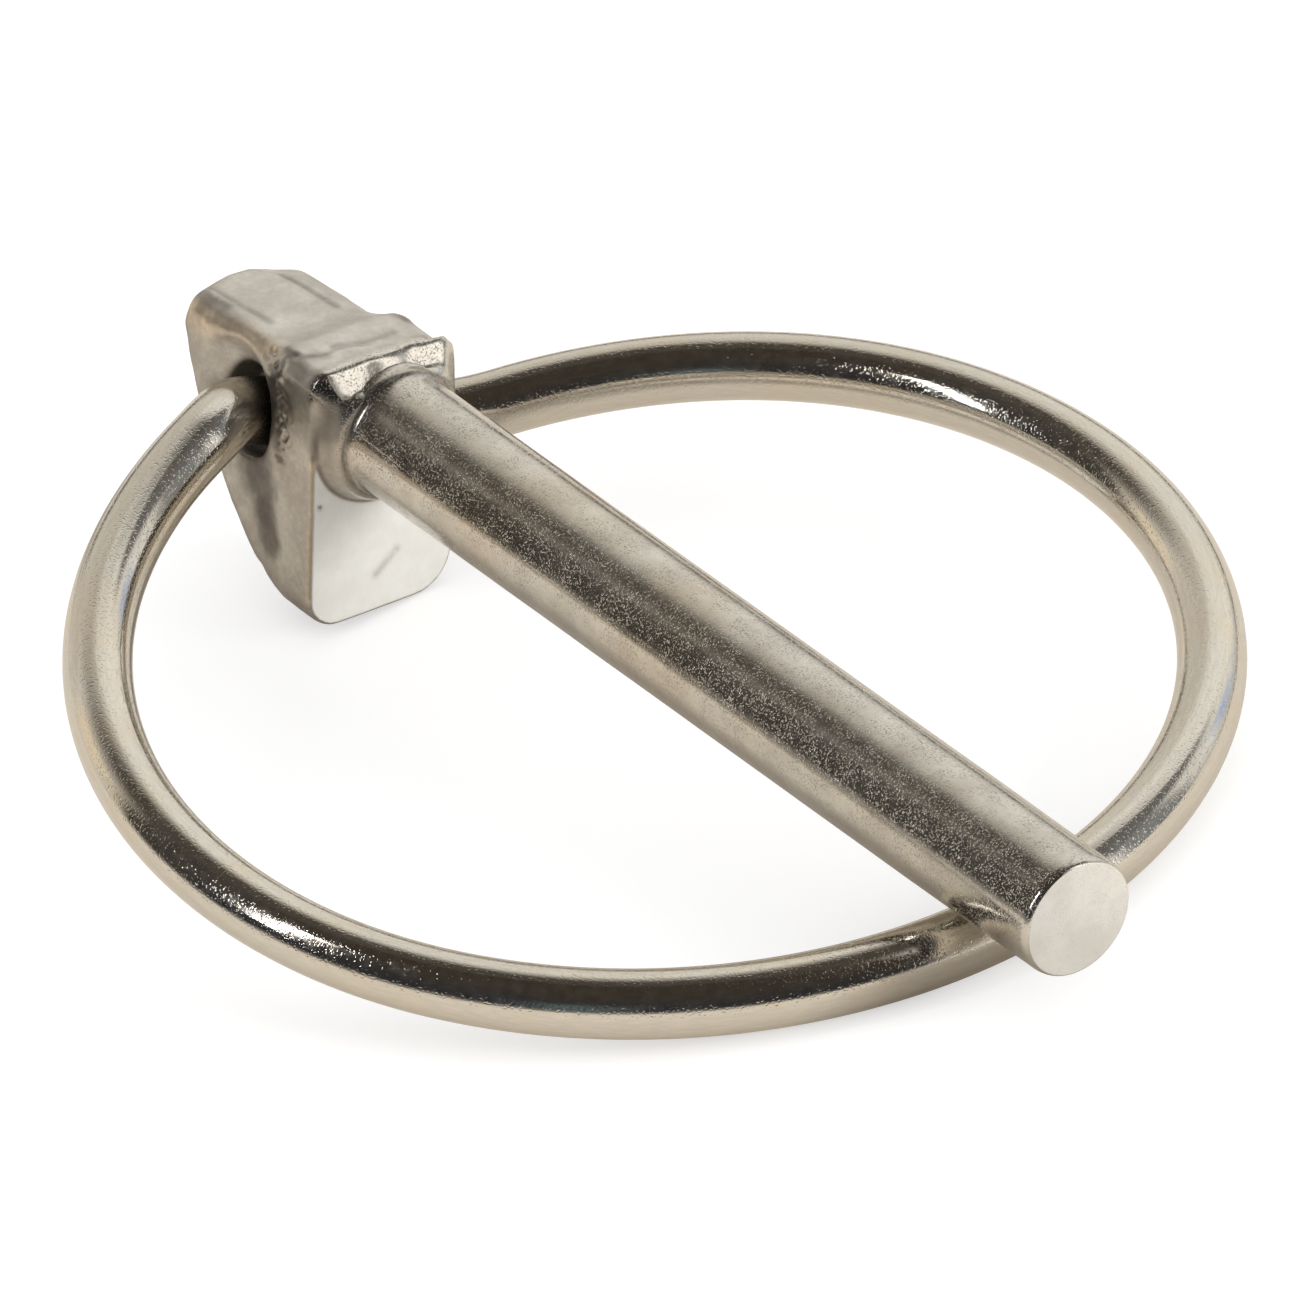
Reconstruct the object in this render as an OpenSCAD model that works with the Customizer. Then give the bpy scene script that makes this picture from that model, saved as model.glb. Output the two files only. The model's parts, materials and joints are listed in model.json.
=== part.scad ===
// Lynch pin: a forged pin with a wedge-shaped head, and a spring-wire snap ring hinged in the head.
//
// Frame: millimetres, +Z up. The origin is on the shank's axis, on the collar's face that the mating
// part stops against. +X runs along the shank to its tip. The heel of the head points to -Z, and the
// ring closes under the shank, on the heel's side.

/* [Shank] */
// Diameter of the shank (1/4 in)
shank_d = 6.35; // [5:0.05:8]
// Length of full gauge, from the collar's face (1-3/4 in)
usable_l = 44.45; // [38:0.05:52]
// Length of the eased end that the ring closes behind
end_l = 9.75; // [8:0.05:14]
// How much the eased end loses in diameter towards the tip
end_ease = 0.06; // [0.02:0.01:0.3]
// Width of the broken edge round the tip
tip_edge = 0.2; // [0.1:0.05:0.8]

/* [Collar] */
// Height of the collar in front of the head
collar_h = 1.2; // [0.6:0.1:2.5]
// Diameter of the collar where it meets the head
collar_root_d = 8.2; // [7:0.1:8.6]
// Diameter of the collar's face
collar_face_d = 7.3; // [6.6:0.1:8]

/* [Head] */
// Width of the front flange, across the shank
flange_w = 8.7; // [8:0.1:11]
// Height of the flange above the shank's axis
flange_top = 3.9; // [3.6:0.1:5]
// Depth of the heel below the shank's axis
heel_drop = 10.65; // [9.5:0.05:13]
// Thickness of the flange at full size, -Y side
flange_t = 2.6; // [1.6:0.1:2.8]
// Length over which the -Y side draws in to the body
flange_draw = 2.4; // [1:0.1:2.6]
// Thickness of the flange at full size, top and +Y side
shoulder_t = 3.1; // [2.8:0.1:4]
// Length of the hollow in which the top and the +Y side draw in to the body
shoulder_draw = 3.6; // [3:0.1:5]
// How far the body's -Y side lies inside the flange
body_inset = 0.4; // [0.3:0.05:0.6]
// How far the body's +Y side lies inside the flange
right_inset = 0.8; // [0.5:0.05:1.2]
// How far the body's top lies inside the flange
top_inset = 0.65; // [0.3:0.05:1.2]
// Corner radius of the flange, top left
round_top_left = 1.1; // [0.5:0.1:2]
// Corner radius of the flange, top right
round_top_right = 2.6; // [1:0.1:3]
// Corner radius of the heel, -Y side
round_heel_left = 1.9; // [0.6:0.1:2]
// Corner radius of the heel, +Y side
round_heel_right = 2.2; // [0.8:0.1:3]
// Length of the head behind its front face
head_l = 12.1; // [11:0.1:14]
// How far the head's back is bowed across its width
back_bow = 0.4; // [0:0.1:1]
// Edge radius of the body
body_round = 1; // [0.6:0.1:1.4]
// Radius of the body's corner at the back, top left
round_back_left = 1.2; // [1:0.1:2.2]
// Radius of the body's corner at the back, top right
round_back_right = 2.5; // [1.4:0.1:2.8]

/* [Ring bore] */
// Distance of the hinge line behind the front face
hinge_back = 5.6; // [5.2:0.1:6.2]
// Depth of the hinge line below the shank's axis, at mid width
hinge_drop = 2.15; // [1.8:0.05:2.6]
// Slope of the hinge line, down towards +Y
hinge_slope = 17; // [12:0.5:20]
// Skew of the hinge line, forwards towards +Y
hinge_skew = 8; // [4:0.5:10]
// Diameter of the worn mouth on the -Y side
mouth_d = 4.7; // [4.6:0.05:5.2]
// Depth of the worn mouth
mouth_l = 2.4; // [2:0.1:3]
// Length and width of the funnel that the mouth opens into
mouth_flare = 1.4; // [1:0.1:1.6]
// How far the mouth has worn back off the hinge line
mouth_wear = 0.15; // [0:0.05:0.3]
// Running clearance round the wire in the bore, on the radius
bore_clear = 0.18; // [0.1:0.02:0.3]
// Width of the worn edge round each end of the bore
edge_break = 0.35; // [0.1:0.05:0.5]

/* [Ring] */
// Diameter of the ring's wire
wire_d = 3.4; // [2.8:0.05:3.8]
// Mean radius of the ring, to the middle of the wire
ring_r = 26.14; // [25:0.01:27]
// Gap between the closed ring and the shank
ring_gap = 0.1; // [0.05:0.05:0.5]
// Gap between full gauge and the closed ring's inner side
ring_lead = 0.15; // [0.1:0.05:1]
// How far the ring's middle lies to the +Y side
ring_shift = 0.53; // [0:0.01:1]
// How far handling has pulled the ring out of round, as a share of its radius
ring_skew = 0.03; // [0:0.005:0.04]
// Rise of the +Y side and drop of the -Y side, each from the middle
ring_roll = 3.29; // [2.5:0.01:4]
// Rise from the bow to the ring's middle, and again to its back
ring_tilt = 1.68; // [1.2:0.01:2.2]
// How far each end is drawn off the ring's plane, up at -Y and down at +Y
ring_stagger = 3.87; // [3:0.01:4.6]
// Gap between the ring's two ends inside the head
end_gap = 0.8; // [0.4:0.1:1.2]

/* [Hidden] */

shank_r = shank_d / 2;
wire_r = wire_d / 2;
tip_x = usable_l + end_l;          // the tip's face
tip_r = shank_r - end_ease / 2;    // the shank's radius beside the tip's broken edge
front_x = -collar_h;               // the head's front face
back_x = front_x - head_l;         // the furthest point of the head's back
body_left = flange_w / 2 - body_inset;     // the body's -Y side
body_right = flange_w / 2 - right_inset;   // the body's +Y side
body_top = flange_top - top_inset;         // the body's top
draw_stations = [flange_t, shoulder_t, shoulder_t + shoulder_draw / 4, shoulder_t + shoulder_draw / 2,
    shoulder_t + shoulder_draw];   // where the drawn-in part of the head is sliced
embed = 0.8;                       // how far a piece of the forging runs into its neighbour
back_mid = flange_w / 8;           // how far to the -Y side of the middle the back stays at its longest
thin = 0.1;                        // thickness of a slice inside a hull
past = 2;                          // how far the bore's cut runs past the flange on each side
mouth_overlap = 1.8;               // how far inside the body's -Y side the wire leaves the hinge line
seat_out = 0.3;                    // how far outside the body's +Y side the wire leaves the hinge line
cone_start = 0.1;                  // how far inside a bore's wall the cone that breaks its edge begins

// The hinge line, and a point on it at a given Y.
hinge_dir = [sin(hinge_skew), cos(hinge_skew), -tan(hinge_slope)] / norm([1, tan(hinge_slope)]);
hinge_mid = [front_x - hinge_back, 0, -hinge_drop];
function on_hinge(y) = hinge_mid + hinge_dir * (y / hinge_dir[1]);

// --- Outlines ---

// One corner of an outline, rounded: the arc that touches the lines from p to a and from p to b.
function fillet(a, p, b, r, steps) =
    let (
        u = (a - p) / norm(a - p),
        v = (b - p) / norm(b - p),
        half = acos(u * v) / 2,
        centre = p + (u + v) / norm(u + v) * r / sin(half),
        from = p + u * r / tan(half) - centre,
        to = p + v * r / tan(half) - centre
    )
    [for (i = [0 : steps])
        let (t = i / steps, w = from * sin((1 - t) * (180 - 2 * half)) + to * sin(t * (180 - 2 * half)))
        centre + w / norm(w) * r];

// A closed outline with every corner rounded.
function rounded(corners, radii, steps = 6) =
    let (n = len(corners))
    [for (i = [0 : n - 1])
        each fillet(corners[(i + n - 1) % n], corners[i], corners[(i + 1) % n], radii[i], steps)];

// An outline of the head seen from the front, by how far its four sides lie from the shank's axis.
// First value is Y, second is Z.
module head_outline(left, right, top, heel) {
    polygon(rounded(
        [[-left, -heel], [right, -heel], [right, top], [-left, top]],
        [round_heel_left, round_heel_right, round_top_right, round_top_left]));
}

// A slice of the head, t thick, whose front lies at x.
module slice(x, t) {
    translate([x - t, 0, 0])
        rotate([90, 0, 90])
            linear_extrude(t)
                children();
}

// A thin slice of the head at t behind the front face.
module behind(t) {
    slice(front_x - t, thin)
        children();
}

// The head's outline at t behind the front face, where the flange draws in to the body.
module drawn_outline(t) {
    left_in = min(1, max(0, (t - flange_t) / flange_draw));
    hollow = pow(1 - min(1, max(0, (t - shoulder_t) / shoulder_draw)), 2);
    head_outline(
        flange_w / 2 - body_inset * left_in,
        flange_w / 2 - right_inset * (1 - hollow),
        flange_top - top_inset * (1 - hollow),
        heel_at(t));
}

// A cylinder or cone along the hinge line, from one Y to another, with its radius at each.
module along_hinge(y0, y1, r0, r1) {
    turn = [0, acos(hinge_dir[2]), atan2(hinge_dir[1], hinge_dir[0])];
    translate(on_hinge(y0))
        rotate(turn)
            cylinder(h = (y1 - y0) / hinge_dir[1], r1 = r0, r2 = r1, $fn = 64);
}

// --- Pin: one forging of head, collar and shank ---

// The heel and the back, from the side: how far each point lies behind the front face, as a share of the
// head's length, and its depth below the shank's axis, as a share of the heel's drop.
heel_curve = [[0.2, 1], [0.3, 0.99], [0.36, 0.965], [0.43, 0.91], [0.5, 0.82], [0.56, 0.735]];
back_curve = [[0.405, 0.795], [0.485, 0.71], [0.57, 0.6], [0.7, 0.39], [0.8, 0.19], [0.86, 0.015], [0.9, -0.13]];

function heel_at(t) = heel_drop * lookup(t / head_l, heel_curve);

module head_body() {
    hull() {
        behind(draw_stations[3])
            drawn_outline(draw_stations[3]);
        for (p = back_curve, y = [body_round - body_left, body_right - body_round])
            translate([front_x - p[0] * head_l, y, -p[1] * heel_drop])
                sphere(r = body_round, $fn = 24);
        for (y = [-back_mid, 0])
            translate([back_x + body_round + back_bow / 4, y, body_top - body_round])
                sphere(r = body_round, $fn = 24);
        translate([back_x + back_bow + round_back_left, round_back_left - body_left, body_top - round_back_left])
            sphere(r = round_back_left, $fn = 32);
        translate([back_x + 2 * back_bow + round_back_right, body_right - round_back_right, body_top - round_back_right])
            sphere(r = round_back_right, $fn = 32);
    }
}

module flange() {
    slice(front_x, flange_t)
        drawn_outline(0);
    for (i = [1 : len(draw_stations) - 1])
        hull() {
            behind(draw_stations[i - 1])
                drawn_outline(draw_stations[i - 1]);
            behind(draw_stations[i])
                drawn_outline(draw_stations[i]);
        }
}

module collar() {
    translate([front_x, 0, 0])
        rotate([0, 90, 0])
            cylinder(h = collar_h, d1 = collar_root_d, d2 = collar_face_d, $fn = 96);
}

module shank() {
    rotate([0, 90, 0]) {
        translate([0, 0, front_x - embed])
            cylinder(h = usable_l - front_x + embed, r = shank_r, $fn = 96);
        translate([0, 0, usable_l])
            cylinder(h = end_l - tip_edge, r1 = shank_r, r2 = tip_r, $fn = 96);
        translate([0, 0, tip_x - tip_edge])
            cylinder(h = tip_edge, r1 = tip_r, r2 = tip_r - tip_edge, $fn = 96);
    }
}

module ring_bore() {
    out = flange_w / 2 + past;              // well outside the head
    edge = flange_w / 2 + edge_break;       // where the cone on the +Y side ends
    bore_r = wire_r + bore_clear;
    mouth_r = mouth_d / 2;
    funnel = edge_break - body_left;        // where the funnel on the -Y side begins
    along_hinge(-out, out, bore_r, bore_r);
    along_hinge(body_right - edge_break, edge, bore_r - cone_start, bore_r + 2 * edge_break);
    translate([-mouth_wear, 0, 0]) {
        along_hinge(-out, mouth_l - flange_w / 2, mouth_r, mouth_r);
        along_hinge(funnel - mouth_flare, funnel, mouth_r + mouth_flare, mouth_r - cone_start);
    }
}

module pin() {
    color("#b8b0a2")
        difference() {
            union() {
                head_body();
                flange();
                collar();
                shank();
            }
            ring_bore();
        }
}

// --- Ring: one spring wire ---

bow_z = -(shank_r + wire_r + ring_gap);          // height of the wire's middle under the shank
bow_x = usable_l + ring_lead + wire_r;           // where the wire's middle crosses under the shank
ring_x = bow_x - ring_r;                         // the ring's centre
stagger_from = 60;                               // the angle from which the ends are drawn off
ring_steps = 112;                                // sections round the bent wire
end_steps = 8;                                   // sections in each bend into the head
bend_reach = 0.42;                               // how long each bend holds its heading, of its length
wire_sides = 20;                                 // sides of the wire's section
left_leaves = -160;                              // where the bends into the head begin
right_leaves = 160;
left_seat = mouth_overlap - body_left;           // where the wire has come onto the hinge line
right_seat = body_right + seat_out;
ends_meet = 0.8;                                 // the middle of the gap between the two ends
seat_lap = 0.25;                                 // how far the straight ends run over the bent wire
end_r = wire_r + 0.02;                           // their radius, a touch over the bent wire's

// The ring's middle line at angle a: 0 at the bow, +90 on the +Y side, -90 on the -Y side.
function loop_point(a) =
    let (
        r = ring_r * (1 + ring_skew * sin(2 * a)),
        t = max(0, (abs(a) - stagger_from) / (180 - stagger_from))
    )
    [ring_x + r * cos(a),
     ring_shift + r * sin(a),
     bow_z + ring_tilt * (1 - cos(a)) + ring_roll * sin(a) - ring_stagger * sign(a) * t * t];

function unit(v) = v / norm(v);
function loop_dir(a) = unit(loop_point(a + 0.1) - loop_point(a - 0.1));

// A smooth bend from point p, heading u, to point q, heading v.
function bend(p, u, q, v, t) =
    let (reach = norm(q - p) * bend_reach)
    p * pow(1 - t, 3) + (p + u * reach) * 3 * t * pow(1 - t, 2)
        + (q - v * reach) * 3 * t * t * (1 - t) + q * pow(t, 3);

function wire_path() = [
    // out of the head on the -Y side
    for (i = [0 : end_steps - 1])
        bend(on_hinge(left_seat), -hinge_dir, loop_point(left_leaves), loop_dir(left_leaves), i / end_steps),
    for (i = [0 : ring_steps])
        loop_point(left_leaves + (right_leaves - left_leaves) * i / ring_steps),
    // into the head on the +Y side
    for (i = [1 : end_steps])
        bend(loop_point(right_leaves), loop_dir(right_leaves), on_hinge(right_seat), -hinge_dir, i / end_steps)
];

// The wire's section carried along the path without twisting.
function heading(path, i) =
    i == 0 ? -hinge_dir :
    i == len(path) - 1 ? -hinge_dir :
    unit(path[i + 1] - path[i - 1]);

function carry(path, i = 0, side = undef, out = []) =
    i == len(path) ? out :
    let (
        h = heading(path, i),
        s0 = is_undef(side) ? cross(h, [0, 0, 1]) : side,
        s = unit(s0 - h * (s0 * h))
    )
    carry(path, i + 1, s, concat(out, [[path[i], s, cross(h, s)]]));

module wire(path, r) {
    n = wire_sides;
    frames = carry(path);
    last = len(frames) - 1;
    points = [for (f = frames, k = [0 : n - 1]) f[0] + r * (f[1] * cos(360 * k / n) + f[2] * sin(360 * k / n))];
    walls = [for (i = [0 : last - 1], k = [0 : n - 1])
        let (a = i * n + k, b = i * n + (k + 1) % n)
        each [[a, b + n, b], [a, a + n, b + n]]];
    polyhedron(points, concat(walls, [[for (k = [0 : n - 1]) k], [for (k = [n - 1 : -1 : 0]) last * n + k]]));
}

module ring() {
    color("#c8bfae") {
        wire(wire_path(), wire_r);
        along_hinge(left_seat - seat_lap, ends_meet - end_gap / 2, end_r, end_r);
        along_hinge(ends_meet + end_gap / 2, right_seat + seat_lap, end_r, end_r);
    }
}

pin();
ring();
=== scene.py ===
import json
from math import cos, pi, radians, sin

import bmesh
import bpy
import numpy as np
from mathutils import Matrix, Vector, noise


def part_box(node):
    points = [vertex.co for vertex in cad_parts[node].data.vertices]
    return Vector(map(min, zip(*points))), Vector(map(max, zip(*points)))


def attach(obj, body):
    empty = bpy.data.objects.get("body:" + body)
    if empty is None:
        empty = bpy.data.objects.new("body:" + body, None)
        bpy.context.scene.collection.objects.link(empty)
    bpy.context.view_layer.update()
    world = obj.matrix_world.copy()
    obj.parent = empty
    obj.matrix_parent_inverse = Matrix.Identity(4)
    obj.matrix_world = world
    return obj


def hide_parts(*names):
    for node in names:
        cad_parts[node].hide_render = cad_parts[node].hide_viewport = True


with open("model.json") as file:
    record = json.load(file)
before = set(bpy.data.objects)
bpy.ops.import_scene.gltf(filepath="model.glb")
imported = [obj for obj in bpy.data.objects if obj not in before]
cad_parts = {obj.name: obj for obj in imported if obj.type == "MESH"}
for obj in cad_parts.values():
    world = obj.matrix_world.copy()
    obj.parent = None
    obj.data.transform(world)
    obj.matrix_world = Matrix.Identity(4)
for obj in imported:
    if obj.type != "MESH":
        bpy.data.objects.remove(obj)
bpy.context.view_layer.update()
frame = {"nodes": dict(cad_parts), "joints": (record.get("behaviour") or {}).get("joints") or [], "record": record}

MM = 0.001
MOUNTS = {mount["name"]: mount for mount in frame["record"]["mounts"]}
HINGE = frame["joints"][0]

# --- Sizes, in millimetres and degrees, as in the part's source ---

shank_r = MOUNTS["shank"]["dims"]["r_mm"]
usable_l = MOUNTS["shank"]["dims"]["length_mm"]
tip_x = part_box("pin")[1].x / MM
end_ease = 0.06
tip_edge = 0.2
tip_round = 0.5
collar_h = 1.2
front_x = -collar_h
flange_w = 8.7

wire_r = 1.7
ring_r = 26.14
ring_gap = 0.1
ring_lead = 0.15
ring_shift = 0.53
ring_skew = 0.03
ring_roll = 3.29
ring_tilt = 1.68
ring_stagger = 3.87
end_gap = 0.8
ends_meet = 0.8
stagger_from = 60
leaves = 160
bend_reach = 0.42
left_seat = 1.8 - (flange_w / 2 - 0.4)
right_seat = flange_w / 2 - 0.8 + 0.3

# --- Sizes of what only the dressed pin has, in millimetres ---

head_cut = 0.35
head_grain = 0.11
grain_relax = 4
hollow_rise = 0.75
hollow_from = 0.70
hollow_run = collar_h - 0.72
stub_depth = 0.22
stub_x = -1.0
fillet_rise = 0.22
fillet_reach = 0.22
shank_sides = 128

lump_size, lump_height = 3.2, 0.045
small_lump_size, small_lump_height = 0.8, 0.016
face_lump_size, face_lump_height = 2.5, 0.012
tear_size, tear_gap_size, tear_depth = 0.55, 1.1, 0.40

# --- Camera, in the part's frame: millimetres and degrees ---

CAMERA_AIM = (19.8, 0.8, -2.93)
CAMERA_AZIMUTH = -37.8
CAMERA_ELEVATION = 31.4
CAMERA_ROLL = 1.73
CAMERA_DISTANCE = 1249
CAMERA_LENS = 711
SENSOR_WIDTH = 36
# The nearest and farthest that it sees, in metres.
CAMERA_CLIP = (0.05, 20)

# How the floor rises under the part as it lies on its heel and its ring, towards +X and towards +Y.
FLOOR_RISE = (0.0869, 0.1104)
# Half the floor's side, in metres.
FLOOR_HALF = 3.0


def direction(azimuth, elevation):
    a, e = radians(azimuth), radians(elevation)
    return Vector((cos(a) * cos(e), sin(a) * cos(e), sin(e)))


def floor_normal():
    return Vector((-FLOOR_RISE[0], -FLOOR_RISE[1], 1)).normalized()


def link(name, data):
    """A new object in the scene."""
    item = bpy.data.objects.new(name, data)
    bpy.context.scene.collection.objects.link(item)
    return item


# --- Node helpers ---

class Nodes:
    """A node tree that is written as short lines."""

    def __init__(self, tree):
        self.tree = tree
        self.tree.nodes.clear()

    def add(self, kind, inputs=None, **settings):
        node = self.tree.nodes.new(kind)
        for key, value in settings.items():
            setattr(node, key, value)
        for key, value in (inputs or {}).items():
            self.set(node.inputs[key], value)
        return node

    def set(self, socket, value):
        if isinstance(value, bpy.types.NodeSocket):
            self.tree.links.new(value, socket)
        else:
            socket.default_value = value

    def math(self, operation, a, b=0.0, clamp=False):
        node = self.add("ShaderNodeMath", operation=operation, use_clamp=clamp)
        self.set(node.inputs[0], a)
        self.set(node.inputs[1], b)
        return node.outputs[0]

    def dot(self, vector, fixed):
        node = self.add("ShaderNodeVectorMath", {0: vector, 1: tuple(fixed)}, operation="DOT_PRODUCT")
        return node.outputs["Value"]

    def ramp(self, value, low, high, to_low=0.0, to_high=1.0):
        """A soft step from one number to another as the value goes from low to high."""
        node = self.add("ShaderNodeMapRange", interpolation_type="SMOOTHSTEP")
        for socket, number in zip(node.inputs, (value, low, high, to_low, to_high)):
            self.set(socket, number)
        return node.outputs[0]

    def mix(self, factor, a, b):
        node = self.add("ShaderNodeMix", data_type="RGBA")
        self.set(node.inputs[0], factor)
        self.set(node.inputs[6], a)
        self.set(node.inputs[7], b)
        return node.outputs[2]

    def noise(self, vector, scale, detail=2.0, roughness=0.5):
        node = self.add("ShaderNodeTexNoise", {
            "Vector": vector, "Scale": scale, "Detail": detail, "Roughness": roughness})
        return node.outputs["Fac"]

    def stretched(self, vector, scale):
        return self.add("ShaderNodeMapping", {"Vector": vector, "Scale": scale}).outputs[0]

    def kept(self, name, output="Fac"):
        """A value that the mesh keeps for each vertex."""
        return self.add("ShaderNodeAttribute", attribute_name=name).outputs[output]

    def bumped(self, height, distance, normal=None):
        """A surface normal that follows a height, whose full step is the distance in millimetres."""
        node = self.add("ShaderNodeBump", {"Height": height, "Distance": distance * MM, "Strength": 1.0})
        if normal is not None:
            self.set(node.inputs["Normal"], normal)
        return node.outputs["Normal"]


def shade(red, green, blue):
    return (red, green, blue, 1.0)


def new_material(name):
    material = bpy.data.materials.new(name)
    material.use_nodes = True
    return material, Nodes(material.node_tree)


def finish_metal(n, colour, roughness, normal, metallic=1.0):
    shader = n.add("ShaderNodeBsdfPrincipled", {
        "Base Color": colour, "Metallic": metallic, "Roughness": roughness, "Normal": normal})
    n.set(n.add("ShaderNodeOutputMaterial").inputs["Surface"], shader.outputs[0])


# --- The pin's plate. Scales of noise are per metre, and heights of relief are in millimetres ---

PLATE_DULL = shade(0.63, 0.60, 0.545)
PLATE_CLEAN = shade(0.75, 0.725, 0.665)
PLATE_WARM = shade(0.66, 0.57, 0.46)
# a painted golden glint on the head's edges
PLATE_GOLD_GLINT = shade(0.92, 0.77, 0.58)
PLATE_STAIN = shade(0.36, 0.31, 0.27)
# painted shade on the -Y side, as a dark brown film
PLATE_SHADE = shade(0.095, 0.078, 0.066)
# dirt, and painted shade in creases, corners and the bore
PLATE_DIRT_AND_SHADE = shade(0.10, 0.075, 0.058)
# A chalky matte bloom, painted near-white to stand for the light that the front face, tip face and head's top
# catch.
CHALK_LIT_DULL = shade(0.84, 0.825, 0.77)
CHALK_LIT_CLEAN = shade(0.91, 0.90, 0.855)
CHALK_METALLIC = 0.25
GRIME_ROUGHENS = 0.2

MOTTLE_SCALE = 420
CLOUD_SCALE = 130
BLOTCH_SCALE = 600
BRIGHT_SCALE = 800
CLUSTER_SCALE = 750
FORGE_SCALE = 1300
PIT_SCALE = 2100
PEEL_SCALE = 2600
SPECK_SCALE = 3000
GRAIN_SCALE = 9500

GRAIN_HEIGHT = 0.017
PEEL_HEIGHT = 0.004
FORGE_HEIGHT = 0.014


def plate_colour(n, where, mottle, forged, grime_and_shade, bloom_and_light):
    """Plate that is warm in places, with painted golden glints, under stains, painted shade on the -Y side, dirt
    and painted shade in creases, and a chalky bloom painted near-white for the light its faces catch.
    """
    cloud = n.noise(where, CLOUD_SCALE, detail=2)
    specks = n.noise(where, SPECK_SCALE, detail=3, roughness=0.6)
    plain = n.mix(n.ramp(mottle, 0.35, 0.68), PLATE_DULL, PLATE_CLEAN)
    warmed = n.mix(n.ramp(cloud, 0.45, 0.75, 0.0, 0.5), plain, PLATE_WARM)
    # painted golden glints on the head's edges
    glinted = n.mix(n.kept("gold_glint"), warmed, PLATE_GOLD_GLINT)
    blotch = n.ramp(n.noise(where, BLOTCH_SCALE, detail=4, roughness=0.65), 0.40, 0.66, 0.34, 0.0)
    salt = n.ramp(specks, 0.40, 0.60, 0.16, 0.0)
    pits = n.ramp(n.noise(where, PIT_SCALE, detail=3, roughness=0.6), 0.34, 0.50, 0.15, 0.0)
    stain = n.math("MAXIMUM", n.math("MULTIPLY", forged, n.math("ADD", blotch, salt)), pits)
    stained = n.mix(stain, glinted, PLATE_STAIN)
    # painted shade on the -Y side, as a dark brown film
    shading = n.math("MULTIPLY", n.kept("painted_shade"), n.ramp(mottle, 0.3, 0.7, 0.68, 1.0))
    shaded = n.mix(shading, stained, PLATE_SHADE)
    # dirt, and painted shade in creases, corners and the bore
    dirt_and_shade = n.math("MULTIPLY", grime_and_shade, n.ramp(specks, 0.3, 0.55, 0.6, 1.0))
    darkened = n.mix(dirt_and_shade, shaded, PLATE_DIRT_AND_SHADE)
    # the chalky bloom, painted near-white where the faces catch the light
    chalk_and_light = n.mix(n.ramp(mottle, 0.35, 0.7), CHALK_LIT_DULL, CHALK_LIT_CLEAN)
    return n.mix(n.math("MULTIPLY", bloom_and_light, n.math("SUBTRACT", 1.0, dirt_and_shade)), darkened, chalk_and_light)


def plate_roughness(n, where, mottle, forged, grime_and_shade):
    bright = n.ramp(n.noise(where, BRIGHT_SCALE, detail=3), 0.3, 0.7, 0.11, 0.17)
    satin = n.ramp(mottle, 0.3, 0.7, 0.46, 0.36)
    metal = n.math("ADD", bright, n.math("MULTIPLY", forged, n.math("SUBTRACT", satin, bright)))
    return n.math("ADD", metal, n.math("MULTIPLY", grime_and_shade, GRIME_ROUGHENS), clamp=True)


def plate_relief(n, where, forged):
    """Clusters of fine grains, mostly on the shank, a peel all over, and scale on what is forged."""
    cluster = n.ramp(n.noise(where, CLUSTER_SCALE, detail=3, roughness=0.6), 0.36, 0.60, 0.25, 1.0)
    single = n.ramp(n.noise(where, GRAIN_SCALE, detail=2, roughness=0.6), 0.54, 0.74)
    grains = n.math("MULTIPLY", single, cluster)
    peel = n.noise(where, PEEL_SCALE, detail=3, roughness=0.6)
    grained = n.bumped(n.math("MULTIPLY", grains, n.ramp(forged, 0.0, 1.0, 1.0, 0.25)), GRAIN_HEIGHT)
    peeled = n.bumped(peel, PEEL_HEIGHT, grained)
    scale = n.math("MULTIPLY", n.noise(where, FORGE_SCALE, detail=5, roughness=0.7), forged)
    return n.bumped(scale, FORGE_HEIGHT, peeled)


def plated_steel():
    """Worn zinc plate: satin and mottled on the forged head, bright with a fine peel on the shank."""
    material, n = new_material("plated_steel")
    where = n.add("ShaderNodeTexCoord").outputs["Object"]
    forged = n.kept("forged")
    grime_and_shade = n.kept("grime_and_shade")
    bloom_and_light = n.kept("bloom_and_light")
    mottle = n.noise(where, MOTTLE_SCALE, detail=5, roughness=0.6)
    colour = plate_colour(n, where, mottle, forged, grime_and_shade, bloom_and_light)
    roughness = plate_roughness(n, where, mottle, forged, grime_and_shade)
    metallic = n.ramp(bloom_and_light, 0.0, 1.0, 1.0, CHALK_METALLIC)
    finish_metal(n, colour, roughness, plate_relief(n, where, forged), metallic)
    return material


# --- The ring's plate. Its noise runs in millimetres along and round the wire ---

WIRE_DULL = shade(0.69, 0.655, 0.59)
WIRE_CLEAN = shade(0.75, 0.715, 0.645)
WIRE_WARM = shade(0.73, 0.65, 0.53)
# dirt, and painted shade where the wire goes into the head
WIRE_DIRT_AND_SHADE = shade(0.13, 0.11, 0.08)
WIRE_GRIME_ROUGHENS = 0.22
STREAK_SCALES = (0.9, 6.0, 6.0)
WIRE_CLOUD_SCALE = 0.22
WIRE_SPOT_SCALE = 2.2
WIRE_PEEL_SCALE = 3.2
WIRE_GRAIN_SCALE = 7.5
WIRE_GRAIN_HEIGHT = 0.007
WIRE_PEEL_HEIGHT = 0.002
WIRE_STREAK_HEIGHT = 0.0012


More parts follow.
